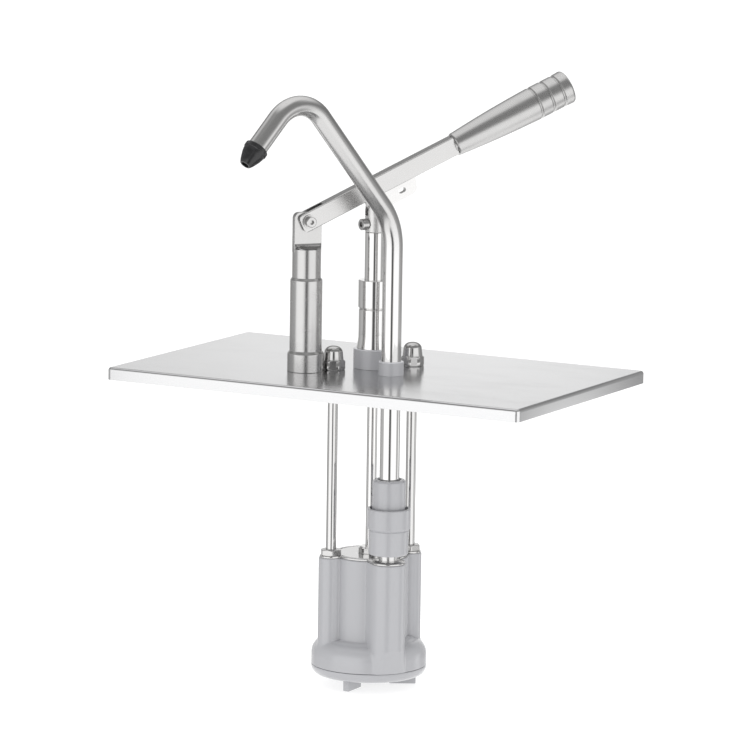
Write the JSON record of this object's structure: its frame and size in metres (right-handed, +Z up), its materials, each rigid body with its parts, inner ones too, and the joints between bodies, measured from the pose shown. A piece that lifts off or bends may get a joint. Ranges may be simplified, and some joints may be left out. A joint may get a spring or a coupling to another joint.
{
  "type": "condiment pump dispenser",
  "caption": "Lever-operated condiment pump on a rectangular stainless pan lid, with a swivelling gooseneck spout and a grey plastic pump body hung on tie rods.",
  "frame": {"origin": "centre of the lid's flat underside, the plane that rests on the pan rim", "axes": "+Z up, X along the lid's long side, -Y towards the side the spout hangs over"},
  "size_m": [0.265, 0.2221, 0.3547],
  "materials": {
    "lid_steel": "fine brushed stainless sheet",
    "turned_steel": "satin turned stainless",
    "bright_steel": "polished stainless",
    "bar_steel": "brushed flat stainless",
    "fastener_steel": "bright fasteners",
    "grey_plastic": "moulded satin grey",
    "white_plastic": "machined natural plastic",
    "black_rubber": "moulded black rubber"
  },
  "bodies": {
    "base": {"acorn_nut_left": "bright_steel", "acorn_nut_right": "bright_steel", "ball_stop": "fastener_steel", "base_cap": "grey_plastic", "body_cover": "bright_steel", "body_nut_left": "fastener_steel", "body_nut_right": "fastener_steel", "cap_seal": "black_rubber", "coupling_lower": "grey_plastic", "coupling_sleeve": "grey_plastic", "fulcrum_post": "turned_steel", "guide_base": "grey_plastic", "guide_collar": "turned_steel", "guide_nut": "grey_plastic", "guide_tube": "bright_steel", "inlet_cage": "white_plastic", "inlet_seat": "fastener_steel", "lid_plate": "lid_steel", "lock_nut_left": "fastener_steel", "lock_nut_right": "fastener_steel", "outlet_stub": "bright_steel", "post_bolt": "fastener_steel", "post_washer": "fastener_steel", "pump_body": "grey_plastic", "return_spring": "bright_steel", "rod_gland": "bright_steel", "spout_ferrule": "grey_plastic", "tie_rod_left": "bright_steel", "tie_rod_right": "bright_steel", "tube_seal": "black_rubber"},
    "lever": {"lever_bar": "bar_steel", "lever_yoke": "bar_steel", "handle_grip": "turned_steel", "handle_stud": "fastener_steel", "pivot_bolt": "fastener_steel", "pivot_nut": "fastener_steel", "pivot_washer_front": "fastener_steel", "pivot_washer_back": "fastener_steel"},
    "piston": {"clevis_fork": "turned_steel", "fork_pin": "fastener_steel", "fork_clip": "fastener_steel", "fork_clamp_screw": "fastener_steel", "plunger": "bright_steel", "piston_rod": "bright_steel", "piston": "white_plastic", "piston_collar": "fastener_steel", "piston_seal": "black_rubber", "piston_nut": "fastener_steel"},
    "spout": {"spout_tube": "turned_steel", "nozzle_tip": "black_rubber"},
    "inlet_ball": {"inlet_ball": "bright_steel"},
    "outlet_ball": {"outlet_ball": "bright_steel"}
  },
  "joints": [
    {"name": "lever_pivot", "type": "hinge", "parent": "base", "child": "lever", "pos_m": [-0.03137, -0.02822, 0.0877], "axis": [-0.766, 0.6428, 0], "range_deg": [0, 35]},
    {"name": "piston_slide", "type": "slide", "parent": "base", "child": "piston", "axis": [0, 0, -1], "range_m": [0, 0.0259], "stiffness_N_per_m": 600, "springref_m": -0.025, "deforming": ["return_spring"]},
    {"name": "spout_swivel", "type": "hinge", "parent": "base", "child": "spout", "pos_m": [0.01695, -0.0142, 0.001], "axis": [0, 0, 1], "range_deg": [-20, 60]},
    {"name": "inlet_ball_lift", "type": "slide", "parent": "base", "child": "inlet_ball", "axis": [0, 0, 1], "range_m": [0, 0.0025]},
    {"name": "outlet_ball_lift", "type": "slide", "parent": "base", "child": "outlet_ball", "axis": [0, 0, 1], "range_m": [0, 0.0015]}
  ],
  "couplings": [
    {"joint": "piston_slide", "follows": "lever_pivot", "m_per_rad": 0.042317}
  ]
}
